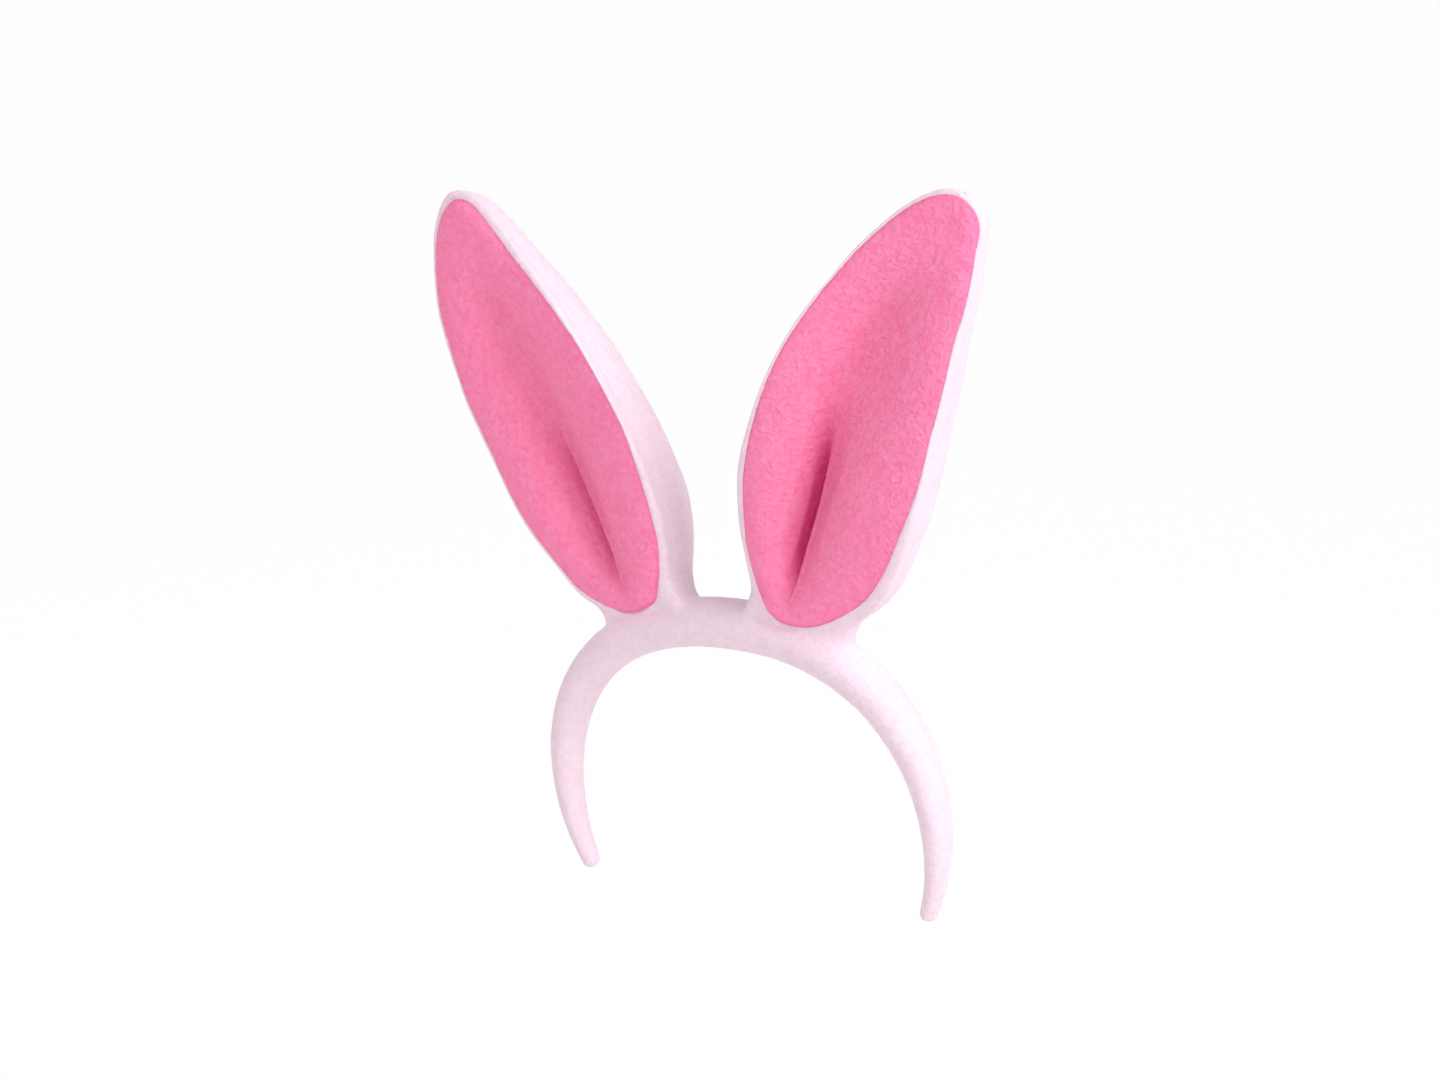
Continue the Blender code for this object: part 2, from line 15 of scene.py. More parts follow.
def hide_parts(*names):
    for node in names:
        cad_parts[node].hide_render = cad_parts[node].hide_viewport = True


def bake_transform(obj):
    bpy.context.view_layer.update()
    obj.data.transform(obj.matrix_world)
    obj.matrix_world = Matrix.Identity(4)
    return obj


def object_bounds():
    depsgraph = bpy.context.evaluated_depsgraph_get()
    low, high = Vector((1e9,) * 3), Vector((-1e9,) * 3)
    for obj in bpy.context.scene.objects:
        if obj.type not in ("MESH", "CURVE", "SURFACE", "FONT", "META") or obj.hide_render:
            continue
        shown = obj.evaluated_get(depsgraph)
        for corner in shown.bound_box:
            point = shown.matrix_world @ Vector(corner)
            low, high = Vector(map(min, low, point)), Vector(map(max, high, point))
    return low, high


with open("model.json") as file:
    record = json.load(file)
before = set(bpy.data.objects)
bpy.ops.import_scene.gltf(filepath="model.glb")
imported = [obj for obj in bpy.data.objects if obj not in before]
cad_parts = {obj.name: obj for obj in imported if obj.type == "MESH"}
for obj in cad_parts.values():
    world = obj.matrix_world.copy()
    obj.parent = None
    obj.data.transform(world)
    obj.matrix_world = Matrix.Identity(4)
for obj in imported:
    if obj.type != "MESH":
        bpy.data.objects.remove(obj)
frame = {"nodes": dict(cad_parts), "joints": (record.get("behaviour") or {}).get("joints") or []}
CAD_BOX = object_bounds()
SIDES = {"left": 1, "right": -1}

# Hoop centre line and section, as in the part
CROWN_HANDLE = 0.0698
TIP_HALF_SPAN = 0.0679
TIP_DROP = 0.0912
TIP_HANDLE = 0.0373
TIP_TOE_IN = math.radians(23.7)
CROWN_THICKNESS = 0.0161
CROWN_DEPTH = 0.0205
TIP_THICKNESS = 0.0057
TIP_DEPTH = 0.0068
HOOP_TAPER = 1.54
LENGTH_STEPS = 1000
STATION_STEPS = 500
STATIONS_SEARCHED = 300
TANGENT_STEP = 0.001

# Ear outline, placing and depth, as in the part
EAR_LEAN = math.radians(27.9)
EAR_BASE = 0.0089
EAR_FORWARD = 0.0042
EAR_BOW = 0.0065
EAR_CUP = 0.0034
MEDIAL_CUP = 0.0067
CUP_HEIGHT = 0.0974
ROOT_SWEEP = 0.0060
SWEEP_HEIGHT = 0.0550
LINING_LENGTH = 0.1514
LINING_TOP = EAR_BASE + LINING_LENGTH
MEDIAL = {"width": 0.0301, "belly": 0.841, "fullness": 0.615, "neck": 0.0131, "rim": 0.0027, "tip": 0.0052}
LATERAL = {"width": 0.0281, "belly": 0.678, "fullness": 0.453, "neck": 0.0179, "rim": 0.0012, "tip": 0.0058}
TIP_RIM = 0.0020
RIM_ROLL = 0.0025
NECK_FADE = 0.0600
NECK_BLEND = 5
ROOT_DEPTH = 0.0178
BELLY_DEPTH = 0.0307
TIP_SHELL_DEPTH = 0.0076
BELLY_HEIGHT = 0.0355
TIP_ROUND = 0.0100
BACK_SQUARENESS = 2.95
BACK_FALL = 0.8

# Softer than the part: the outline's tip is rounded by each side's tip radius, and the rim rolls over
TIP_RADIUS_FADE = 0.0300
TIP_BLEND = 4
RIM_ROUND = 0.0045
# Both soft tips hang a little to the wearer's left and sink a little
TIP_SWAY = {1: 0.0034, -1: 0.0042}
TIP_SINK = {1: 0.0011, -1: 0.0008}
SWAY_START = {1: 0.1150, -1: 0.1250}
SINK_START = 0.1420
# How far the filling pushes each ear's two sides out of the sewn outline, as height up the ear and distance.
# The inner key is -1 for the side next to the other ear and 1 for the outer side.
SIDE_PUSH = {
    1: {-1.0: ((0.046, 0.0), (0.068, -0.0015), (0.110, -0.0016), (0.121, -0.0016), (0.131, -0.0002),
               (0.140, 0.0008), (0.147, 0.0018), (0.153, 0.0020), (0.162, 0.0012)),
        1.0: ((0.018, 0.0), (0.027, 0.0020), (0.035, 0.0030), (0.046, 0.0028), (0.057, 0.0025),
              (0.068, 0.0013), (0.078, 0.0), (0.089, -0.0016), (0.110, -0.0018), (0.121, -0.0018),
              (0.131, -0.0010), (0.142, -0.0014), (0.150, -0.0014), (0.156, 0.0004), (0.162, 0.0013))},
    -1: {-1.0: ((0.140, 0.0), (0.152, -0.0004), (0.162, -0.0006)),
         1.0: ((0.016, 0.0), (0.024, 0.0020), (0.033, 0.0004), (0.042, 0.0), (0.078, -0.0006),
               (0.089, 0.0004), (0.099, 0.0015), (0.121, 0.0022), (0.131, 0.0027), (0.142, 0.0028),
               (0.150, 0.0026), (0.156, 0.0018), (0.162, 0.0006))},
}
LEAST_HALF_WIDTH = 0.0010

# Plush skin
HOOP_SIDES = 120
HOOP_STATIONS = 190
TIP_DOME_STEPS = 10
EAR_FRONT_COLUMNS = 110
EAR_BACK_COLUMNS = 150
EAR_ROWS = 210
EAR_TIP_ROWS = 26
EAR_TIP_LENGTH = 0.0100
SECTION_POINTS = 400
SECTION_ROWS = 300
SECTION_TIP_ROWS = 90
SECTION_TIP_LENGTH = 0.0120
FILLET_ROWS = 18
FILLET_LEAD_ROW = 3
FILLET_RUN_ON = 0.0010
FILLET_BURIED = 0.0004
FILLET_DROP = 0.0064
SIDE_FILLET = 0.0012
FRONT_FILLET = 0.0050
BACK_FILLET = 0.0030
FILLET_TOP = 0.0125
FRONT_FILLET_TOP = 0.0066
FRONT_FILLET_SPREAD = 1.6
ROOT_SKEW_END = 0.0450
BASIN_DEPTH = 0.0040
BASIN_RAMP = 0.0045
BASIN_SPAN = 0.0015
BASIN_LEAD = 0.0003
SPAN_TRIES = 5
BACK_ROOM = 0.0030
FILLING_ROOM = 0.0025
FILLING_SPAN = 0.0050

# Cloth simulation that swells the stuffed back
SWELL_PRESSURE = 4.0
SWELL_FRAMES = 20
SWELL_START = 0.0010
SWELL_CAP = 0.0014
SWELL_ROW_STEP = 6
SWELL_COLUMN_STEP = 5
SWELL_HELD_ROWS = 3
SWELL_EASED_ROWS = 6
LEAST_MOVE = 0.000001

# Lining: soft lobes that meet in a fold, where the lobe on the wearer's left laps over the other
LINING_ROWS = 260
LINING_COLUMNS = 128
LINING_BACK_COLUMNS = 24
ROW_BUNCHING = 0.9
COLUMN_BUNCHING = 1.6
OUTLINE_POINTS = 1500
LINING_CLOTH = 0.0016
LINING_TURN_UNDER = 0.0006
TURN_UNDER_SLOPE = 1.1
LINING_SINK = 0.0001
LINING_DROP = 0.0008
# How far each lining is drawn up at its tip, and how much wider than the part's it is cut on its two sides
LINING_RISE = {"left": 0.0010, "right": -0.0012}
LINING_SPREAD = {
    "left": {-1.0: ((0.035, 0.0), (0.067, 0.0013), (0.100, 0.0026)),
             1.0: ((0.012, -0.0014), (0.025, -0.0020), (0.046, -0.0012), (0.057, -0.0012),
                   (0.080, 0.0006), (0.100, 0.0012))},
    "right": {-1.0: ((0.035, 0.0), (0.046, 0.0008), (0.057, 0.0018), (0.067, 0.0030), (0.078, 0.0036),
                     (0.089, 0.0029), (0.099, 0.0022), (0.110, 0.0016), (0.131, 0.0006),
                     (0.145, -0.0002), (0.158, -0.0006)),
              1.0: ((0.035, 0.0), (0.067, 0.0006), (0.100, 0.0012))},
}
ROOT_SHIFT = 0.0036
SHIFT_HEIGHT = 0.0220
SHIFT_CURVE = 1.5
FOOT_TAPER = {-1.0: 0.42, 1.0: 0.0}
FOOT_HEIGHT = 0.0200
EDGE_ROLL = 0.0005
EDGE_ROLL_WIDTH = 0.0009
EDGE_MARGIN = 0.0003
LEAST_WIDTH = 0.0001
# Lobes and the broad valley between them. A pair is the height where a change starts and the length it takes.
PILLOW = 0.0038
PILLOW_EDGE = 0.0065
LOBES_MERGE = (0.120, 0.030)
FOLD_LIMITS = (0.3, 0.7)
VALLEY_DEPTH = 0.0075
VALLEY_SHARPNESS = (3.2, 2.1)
VALLEY_WIDENS = (0.050, 0.050)
VALLEY_ENDS = (0.110, 0.040)
VALLEY_BELLY = 0.8
VALLEY_FULLNESS = 0.9
# The tuck: the lower lobe dips towards the fold, and the other ends in a rounded edge over it
LOW_DEPTH = 0.0055
LOW_REACH = 0.0175
LOW_CURVE = 1.5
LOW_NARROWING = 0.3
LOW_NARROWS = (0.035, 0.050)
LAP_DEPTH = 0.0012
LAP_REACH = 0.0100
LAP_EDGE = 0.0006
LAP_LEAD = 0.85
LAP_RIDGE = 0.0006
RIDGE_PLACE = 0.0007
RIDGE_WIDTH = 0.0006
VALLEY_SPREAD = 0.0060
LAP_OPENS = (0.054, 0.034)
TUCK_STARTS = (0.0150, 0.018)
TUCK_EASING = 0.82
TUCK_EASES = (0.038, 0.058)
TUCK_ENDS = (0.080, 0.050)
TUCK_EDGE_POWER = 6
# Small creases where the cloth is gathered beside the fold's upper end
CRUMPLE = 0.00028
CRUMPLE_HEIGHT = 0.0700
CRUMPLE_SPACING = 0.0030
CRUMPLE_SLANT = 0.7
GATHER_PLACE = 0.0045
GATHER_WIDTH = 0.0040
GATHER_LENGTH = 0.014
# Painted shade in the lining's fold: half widths over which the lining's depth is weighed against its sides,
# each with the depth that shades in full
FOLD_SHADE_SPANS = ((0.0040, 0.0100), (0.0110, 0.0140))
FOLD_SHADE_SHARE = {"left": 1.3, "right": 0.75}
FOLD_SHADE_LIMIT = 0.5
FOLD_SHADE_FADING = 0.6
FOLD_SHADE_FADES = (0.060, 0.030)
# Painted shade along the lining's seam: its strength and its half width
PAINTED_SEAM_SHADE = 0.25
PAINTED_SEAM_SHADE_WIDTH = 0.0012
# Where each lining's fold runs, as height up the ear and place across it
FOLD_PATH = {
    "left": ((0.010, 0.0016), (0.021, 0.0011), (0.032, -0.0010), (0.051, -0.0035), (0.069, -0.0066),
             (0.086, -0.0088), (0.097, -0.0078), (0.110, -0.0059), (0.121, -0.0034), (0.137, 0.0020),
             (0.158, 0.0040)),
    "right": ((0.010, 0.0046), (0.019, 0.0042), (0.035, 0.0037), (0.058, 0.0026), (0.092, 0.0021),
              (0.106, 0.0018), (0.124, 0.0006), (0.141, -0.0017), (0.158, -0.0030)),
}
PATH_SMOOTHING = 0.0035
PATH_TRIES = 9

# Surface unevenness: wave length and height
SOFT_LUMPS = (0.0160, 0.00015)
NAP = (0.0022, 0.00007)
LINING_NAP = (0.0024, 0.00010)
CORNER_REACH = 0.000005

# Pile of the plush: its strokes and clumps are drawn coarser than the real pile, so that they show
STROKE_SPACING = 0.0018
CLUMP_SPACING = 0.0085
STROKE_SHARE = 0.75
TONE_SPAN = (0.36, 0.60)
GRAIN_SPAN = (0.30, 0.70)
PILE_HEIGHT = 0.0014
GRAIN_STRENGTH = 0.4

# Studio: each lamp's place, size and power, the sky's level and the floor
LAMPS = (
    ("right_key", (1.34, 0.0, 0.90), 1.0, 21.5),
    ("corner_fill", (1.09, -1.09, 0.46), 0.8, 3.5),
    ("front_fill", (0.0, -1.28, 1.01), 0.9, 11),
    ("left_fill", (-1.54, -0.10, 0.46), 0.9, 7),
    ("back_rim", (0.79, 0.94, 1.08), 0.9, 6),
    ("back_fill", (-0.95, 1.15, 0.80), 1.2, 6),
)
LAMP_AIM = (0, 0, 0.05)
SKY_LIGHT = 0.09
FLOOR_SIZE = 80
FLOOR_DROP = 0.2
FLOOR_GLOW = 0.98

# Camera: azimuth, elevation and roll in degrees, what it looks at, how far away it stands, lens and shift
VIEW_ANGLES = (35.967, 13.459, 6.122)
VIEW_TARGET = (0, 0, 0.0479)
VIEW_DISTANCE = 0.8533
VIEW_LENS = 66.28
VIEW_SENSOR = 36
VIEW_SHIFT = (0.00562, -0.02481)


def lerp(a, b, t):
    return a + (b - a) * t


def smooth(t):
    t = np.clip(t, 0, 1)
    return t * t * (3 - 2 * t)


def ramp(v, change):
    """0 up to the height where a change starts, 1 past the length that it takes."""
    start, run = change
    return smooth((v - start) / run)


def along_path(path, v):
    """What a drawn path gives at a height, its corners smoothed."""
    heights, places = zip(*path)
    around = np.linspace(-1, 1, PATH_TRIES)[:, None] * PATH_SMOOTHING
    return np.interp(np.ravel(v) + around, heights, places).mean(axis=0).reshape(np.shape(v))


# Hoop curve

def centre(s):
    """Point of the hoop's centre line, with s from -1 at the right tip to 1 at the left tip."""
    a = abs(s)
    tip = Vector((TIP_HALF_SPAN, 0, -TIP_DROP))
    pull = TIP_HANDLE * Vector((math.sin(TIP_TOE_IN), 0, math.cos(TIP_TOE_IN)))
    knots = (Vector(), Vector((CROWN_HANDLE, 0, 0)), tip + pull, tip)
    weights = ((1 - a) ** 3, 3 * a * (1 - a) ** 2, 3 * a * a * (1 - a), a ** 3)
    point = sum((w * k for w, k in zip(weights, knots)), Vector((0, 0, CROWN_THICKNESS / 2)))
    return Vector((math.copysign(point.x, s), 0, point.z))


def tangent(s):
    return (centre(s + TANGENT_STEP) - centre(s - TANGENT_STEP)).normalized()


def outward(s):
    along = tangent(s)
    return Vector((-along.z, 0, along.x))


def half_section(s):
    taper = abs(s) ** HOOP_TAPER
    thickness = lerp(CROWN_THICKNESS, TIP_THICKNESS, taper)
    depth = lerp(CROWN_DEPTH, TIP_DEPTH, taper)
    return thickness / 2, depth / 2


def even_stations(count):
    """Stations from the crown to a tip, evenly spaced along the centre line."""
    fine = [i / LENGTH_STEPS for i in range(LENGTH_STEPS + 1)]
    lengths = [0.0]
    for a, b in zip(fine, fine[1:]):
        lengths.append(lengths[-1] + (centre(b) - centre(a)).length)
    return np.interp(np.linspace(0, lengths[-1], count), lengths, fine).tolist()


def station_at(x):
    """The station whose centre lies a distance x from the crown's middle."""
    stations = [i / STATION_STEPS for i in range(STATIONS_SEARCHED)]
    return float(np.interp(x, [centre(s).x for s in stations], stations))


def hoop_ring(s, shrink=1.0, shift=0.0):
    thick, deep = half_section(s)
    middle = centre(s) + tangent(s) * shift
    ring = []
    for i in range(HOOP_SIDES):
        angle = 2 * math.pi * i / HOOP_SIDES
        across = outward(s) * thick * shrink * math.cos(angle)
        ring.append(middle + across + Vector((0, deep * shrink * math.sin(angle), 0)))
    return ring


def hoop_rings(side):
    """Rings of one half of the hoop, from the crown to the round tip."""
    rings = [hoop_ring(side * s) for s in even_stations(HOOP_STATIONS)]
    thick = half_section(1)[0]
    for i in range(1, TIP_DOME_STEPS):
        angle = math.pi / 2 * i / TIP_DOME_STEPS
        rings.append(hoop_ring(side, math.cos(angle), side * thick * math.sin(angle)))
    return rings


# Ear shape, in the ear's own axes: u away from the centre plane, y backward, v up the ear

def ear_frame(side):
    """The ear's axes at its pivot on the hoop's centre line."""
    pivot = Vector(next(j["pos_m"] for j in frame["joints"] if j["name"] == "left_ear_tilt"))
    pivot.x *= side
    return Matrix.Translation(pivot) @ Matrix.Rotation(side * EAR_LEAN, 4, "Y")


def by_side(u, key):
    return np.where(np.asarray(u) < 0, MEDIAL[key], LATERAL[key])


def leaf(u, v, sideways=0.0, below=0.0, above=0.0):
    """Half width of the round-tipped lining on the side of u, grown sideways and at its ends."""
    t = np.clip((v - EAR_BASE + below) / (LINING_LENGTH + below + above), 0, 1)
    swell = np.abs(np.sin(math.pi * t ** by_side(u, "belly"))) ** by_side(u, "fullness")
    short = np.maximum(LINING_TOP + above - v, 0)
    cap = np.sqrt(2 * by_side(u, "tip") * short) * (1 - smooth(short / TIP_RADIUS_FADE))
    wide = (by_side(u, "width") + sideways) * swell
    return (wide ** TIP_BLEND + cap ** TIP_BLEND) ** (1 / TIP_BLEND)


def body_half_width(u, v):
    """Half width of the stuffed ear: the leaf with its rim, run into the neck at the root."""
    neck = by_side(u, "neck") * np.clip(1 - np.maximum(0, v - EAR_BASE) / NECK_FADE, 0, 1)
    rimmed = leaf(u, v, by_side(u, "rim"), TIP_RIM, TIP_RIM)
    return (rimmed ** NECK_BLEND + neck ** NECK_BLEND) ** (1 / NECK_BLEND)


def body_depth(v):
    """Depth behind the seam, from the root over the belly to the round tip."""
    height = v - EAR_BASE
    rise = np.sin(math.pi / 2 * np.clip(height / BELLY_HEIGHT, 0, 1))
    fall = np.clip((height - BELLY_HEIGHT) / (LINING_LENGTH - BELLY_HEIGHT), 0, 1)
    low = lerp(ROOT_DEPTH, BELLY_DEPTH, rise)
    high = lerp(TIP_SHELL_DEPTH, BELLY_DEPTH, np.cos(math.pi / 2 * fall) ** BACK_FALL)
    past = np.clip((v - LINING_TOP - TIP_RIM + TIP_ROUND) / TIP_ROUND, 0, 1)
    return np.where(height < BELLY_HEIGHT, low, high) * np.sqrt(1 - past ** 2)


def seam(u, v):
    """The seam's place from front to back: bowed back, cupped, and swept back at the outer root."""
    height = np.maximum(0, v - EAR_BASE)
    bow = EAR_BOW * (height / LINING_LENGTH) ** 2
    swept = np.sin(math.pi / 2 * np.clip(height / SWEEP_HEIGHT, 0, 1))
    risen = np.sin(math.pi / 2 * np.clip(height / CUP_HEIGHT, 0, 1))
    cup = np.where(np.asarray(u) > 0, lerp(-ROOT_SWEEP, EAR_CUP, swept), lerp(EAR_CUP, MEDIAL_CUP, risen))
    return bow - cup * (u / LATERAL["width"]) ** 2 - EAR_FORWARD


def lining_edge(label, sign, v, grow=0.0):
    """Where the shown lining ends on one side: wider than the CAD's and drawn inward at its foot."""
    spread = along_path(LINING_SPREAD[label][sign], v) + grow
    shift = ROOT_SHIFT * np.clip(1 - (v - EAR_BASE) / SHIFT_HEIGHT, 0, 1) ** SHIFT_CURVE
    taper = 1 - FOOT_TAPER[sign] * np.clip(1 - (v - EAR_BASE) / FOOT_HEIGHT, 0, 1) ** 2
    reach = leaf(sign, v, spread, LINING_DROP + grow, LINING_RISE[label] + grow) * taper - sign * shift
    return sign * np.minimum(reach, body_half_width(sign, v) - EDGE_MARGIN)


def outline_tree(label):
    """The lining's outline as a search tree of points."""
    turns = np.linspace(0, math.pi, OUTLINE_POINTS)
    low, high = EAR_BASE - LINING_DROP, LINING_TOP + LINING_RISE[label]
    heights = lerp(low, high, (1 - np.cos(turns)) / 2)
    tree = kdtree.KDTree(2 * len(heights))
    for sign in (-1.0, 1.0):
        for u, v in zip(lining_edge(label, sign, heights), heights):
            tree.insert((u, v, 0), 0)
    tree.balance()
    return tree


OUTLINE = {label: outline_tree(label) for label in SIDES}


def outside_lining(label, u, v):
    """Distance from the lining's outline, positive outside it."""
    distances = np.array([OUTLINE[label].find((a, b, 0))[2] for a, b in zip(u, v)])
    within = (u > lining_edge(label, -1.0, v)) & (u < lining_edge(label, 1.0, v))
    within &= (v > EAR_BASE - LINING_DROP) & (v < LINING_TOP + LINING_RISE[label])
    return np.where(within, -distances, distances)


def front_roll(u, v):
    """How far the stuffed rim stands in front of the seam."""
    inside = np.maximum(body_half_width(u, v) - np.abs(u), 0)
    return -RIM_ROLL * np.sqrt(1 - np.clip(1 - inside / RIM_ROUND, 0, 1) ** 2)


def resample(points, count):
    """Points at even distances along a drawn line, without its last."""
    steps = np.linalg.norm(np.diff(points, axis=0), axis=1)
    along = np.concatenate(([0], np.cumsum(steps)))
    places = np.linspace(0, along[-1], count + 1)[:-1]
    return np.stack([np.interp(places, along, points[:, k]) for k in range(2)], axis=1)


def ear_section(v):
    """The ear's section at a height: across the front from the medial edge, then round the back."""
    turn = np.linspace(0, math.pi, SECTION_POINTS)
    across = -np.cos(turn) * body_half_width(-np.cos(turn), v)
    front = np.stack([across, front_roll(across, v)], axis=1)
    power = 2 / BACK_SQUARENESS
    wide = np.sign(np.cos(turn)) * np.abs(np.cos(turn)) ** power
    deep = np.sin(turn) ** power
    back = np.stack([wide * body_half_width(wide, v), deep * body_depth(v)], axis=1)
    return np.concatenate([resample(front, EAR_FRONT_COLUMNS), resample(back, EAR_BACK_COLUMNS)])


def ear_body():
    """Rows of points over the stuffed ear, from its root to its tip, in the ear's axes."""
    top = LINING_TOP + TIP_RIM
    low_heights = np.linspace(0.0, top - SECTION_TIP_LENGTH, SECTION_ROWS)
    high_heights = top - SECTION_TIP_LENGTH * np.cos(np.linspace(0, math.pi / 2, SECTION_TIP_ROWS))[1:] ** 2
    table_heights = np.concatenate([low_heights, high_heights])
    table = np.array([ear_section(v) for v in table_heights])
    along = tangent(station_at(ear_frame(1).translation.x))
    slope = math.atan2(-along.z, along.x)
    skew = math.tan(EAR_LEAN - slope)
    straight = np.linspace(FILLET_TOP, top - EAR_TIP_LENGTH, EAR_ROWS)
    rounded = top - EAR_TIP_LENGTH * np.cos(np.linspace(0, math.pi / 2, EAR_TIP_ROWS))[1:-1] ** 2
    column = np.arange(table.shape[1])
    facing = np.sin(math.pi * np.clip(column / EAR_FRONT_COLUMNS, 0, 1))
    drop = (FILLET_TOP - FRONT_FILLET_TOP) * smooth(facing * FRONT_FILLET_SPREAD)
    rows = []
    for height in np.concatenate([straight, rounded]):
        settled = smooth((height - FILLET_TOP) / (ROOT_SKEW_END - FILLET_TOP))
        level = at_height(table_heights, table, np.full(table.shape[1], height))
        v = height + (level[:, 0] * skew - drop) * (1 - settled)
        rows.append(np.column_stack([at_height(table_heights, table, v), v]))
    return np.array(rows)


def at_height(heights, table, v):
    """Each column's place across and back at its own height."""
    index = np.clip(np.searchsorted(heights, v) - 1, 0, len(heights) - 2)
    share = np.clip((v - heights[index]) / (heights[index + 1] - heights[index]), 0, 1)[:, None]
    column = np.arange(table.shape[1])
    return table[index, column] * (1 - share) + table[index + 1, column] * share


def with_front_shaped(rows, label):
    """Sinks the front under the lining."""
    shaped = rows.copy()
    count = EAR_FRONT_COLUMNS
    u = rows[:, 1:count, 0].ravel()
    v = rows[:, 1:count, 2].ravel()
    apart = outside_lining(label, u, v)
    front = rows[:, 1:count, 1].ravel()
    room = np.maximum(body_depth(v) - BACK_ROOM, 0)
    floor = np.minimum(deepest_near(label, u, v, BASIN_SPAN) + BASIN_DEPTH, room)
    sunk = smooth((BASIN_LEAD - apart) / BASIN_RAMP)
    shaped[:, 1:count, 1] = (front + np.maximum(0, floor - front) * sunk).reshape(len(rows), -1)
    return shaped


def to_frame(points, side):
    """Ear axes to the part's frame, with the seam's bow, the sides' push and the tip's sway added."""
    bent = points.copy()
    u, v = points[..., 0], points[..., 2]
    top = LINING_TOP + TIP_RIM
    push = np.where(u < 0, along_path(SIDE_PUSH[side][-1.0], v), along_path(SIDE_PUSH[side][1.0], v))
    share = np.clip(u / np.maximum(body_half_width(u, v), LEAST_HALF_WIDTH), -1, 1)
    pushed = u + push * share * np.abs(share)
    swayed = smooth((v - SWAY_START[side]) / (top - SWAY_START[side]))
    sunk = smooth((v - SINK_START) / (top - SINK_START))
    bent[..., 1] += seam(u, v)
    bent[..., 0] = pushed * side + TIP_SWAY[side] * swayed
    bent[..., 2] -= TIP_SINK[side] * sunk
    turned = np.array(ear_frame(side))
    return bent @ turned[:3, :3].T + turned[:3, 3]


# Meshes

def mesh_of_rows(name, rows, start_pole=None, end_pole=None, closed=True):
    """A skin through rows of equal point counts, with a pole point at either end."""
    count = len(rows[0])
    points = [tuple(p) for row in rows for p in row]
    faces = []
    span = count if closed else count - 1
    for r in range(len(rows) - 1):
        for i in range(span):
            j = (i + 1) % count
            faces.append((r * count + i, r * count + j, (r + 1) * count + j, (r + 1) * count + i))
    for pole, first, turned in ((start_pole, 0, True), (end_pole, (len(rows) - 1) * count, False)):
        if pole is None:
            continue
        points.append(tuple(pole))
        tip = len(points) - 1
        for i in range(span):
            j = (i + 1) % count
            pair = (first + j, first + i) if turned else (first + i, first + j)
            faces.append((*pair, tip))
    mesh = bpy.data.meshes.new(name)
    mesh.from_pydata(points, [], faces)
    shape = bmesh.new()
    shape.from_mesh(mesh)
    bmesh.ops.recalc_face_normals(shape, faces=shape.faces)
    shape.to_mesh(mesh)
    shape.free()
    mesh.shade_smooth()
    return mesh


def piece(name, mesh):
    made = bpy.data.objects.new(name, mesh)
    bpy.context.scene.collection.objects.link(made)
    return made


def roughen(mesh, *waves):
    """Moves a skin along its normals by noise of given wave lengths and heights."""
    mesh.update()
    normals = [Vector(n.vector) for n in mesh.vertex_normals]
    for vertex, normal in zip(mesh.vertices, normals):
        rise = sum(height * noise.noise(vertex.co / length) for length, height in waves)
        vertex.co += normal * rise
    mesh.update()


def make_band(name, side):
    """One half of the hoop's plush cover, closed where it meets the other half."""
    end = centre(side) + tangent(side) * side * half_section(1)[0]
    mesh = mesh_of_rows(name, hoop_rings(side), end_pole=end)
    roughen(mesh, SOFT_LUMPS, NAP)
    shape = bmesh.new()
    shape.from_mesh(mesh)
    closing = bmesh.ops.holes_fill(shape, edges=[e for e in shape.edges if e.is_boundary])
    for edge in (e for face in closing["faces"] for e in face.edges):
        edge.smooth = False
    bmesh.ops.recalc_face_normals(shape, faces=shape.faces)
    shape.to_mesh(mesh)
    shape.free()
    return piece(name, mesh)


def swelling(rows):
    """How far cloth under pressure moves the ear's back, while its rim and its root are held."""
    row_places = [*range(0, len(rows) - 1, SWELL_ROW_STEP), len(rows) - 1]
    column_places = list(range(0, rows.shape[1], SWELL_COLUMN_STEP))
    coarse = rows[np.ix_(row_places, column_places)]
    free = np.zeros(coarse.shape[:2], bool)
    free[SWELL_HELD_ROWS:, np.array(column_places) > EAR_FRONT_COLUMNS] = True
    middle = coarse.mean(axis=1, keepdims=True)
    inward = (middle - coarse) / np.linalg.norm(middle - coarse, axis=2, keepdims=True)
    start = coarse + inward * SWELL_START * free[..., None]
    trial = piece("ear_trial", mesh_of_rows("ear_trial", list(start), middle[0, 0], middle[-1, 0]))
    held = trial.vertex_groups.new(name="held")
    held.add(np.flatnonzero(~free.ravel()).tolist(), 1.0, "REPLACE")
    cloth = trial.modifiers.new("swell", "CLOTH").settings
    cloth.vertex_group_mass = "held"
    cloth.use_pressure = True
    cloth.uniform_pressure_force = SWELL_PRESSURE
    cloth.effector_weights.gravity = 0
    scene = bpy.context.scene
    for step in range(1, SWELL_FRAMES + 1):
        scene.frame_set(step)
    swollen = trial.evaluated_get(bpy.context.evaluated_depsgraph_get()).data
    ends = np.array([tuple(v.co) for v in swollen.vertices])[:coarse.shape[0] * coarse.shape[1]]
    moved = ends.reshape(coarse.shape) - coarse
    scene.frame_set(1)
    bpy.data.objects.remove(trial)
    length = np.maximum(np.linalg.norm(moved, axis=2, keepdims=True), LEAST_MOVE)
    eased = smooth((np.arange(len(moved)) - SWELL_HELD_ROWS + 1) / SWELL_EASED_ROWS)
    moved *= np.minimum(1, SWELL_CAP / length) * free[..., None] * eased[:, None, None]
    moved = np.concatenate([moved, moved[:, :1]], axis=1)
    column_places.append(rows.shape[1])
    for axis, places, count in ((0, row_places, rows.shape[0]), (1, column_places, rows.shape[1])):
        moved = np.apply_along_axis(lambda line: np.interp(np.arange(count), places, line), axis, moved)
    return moved


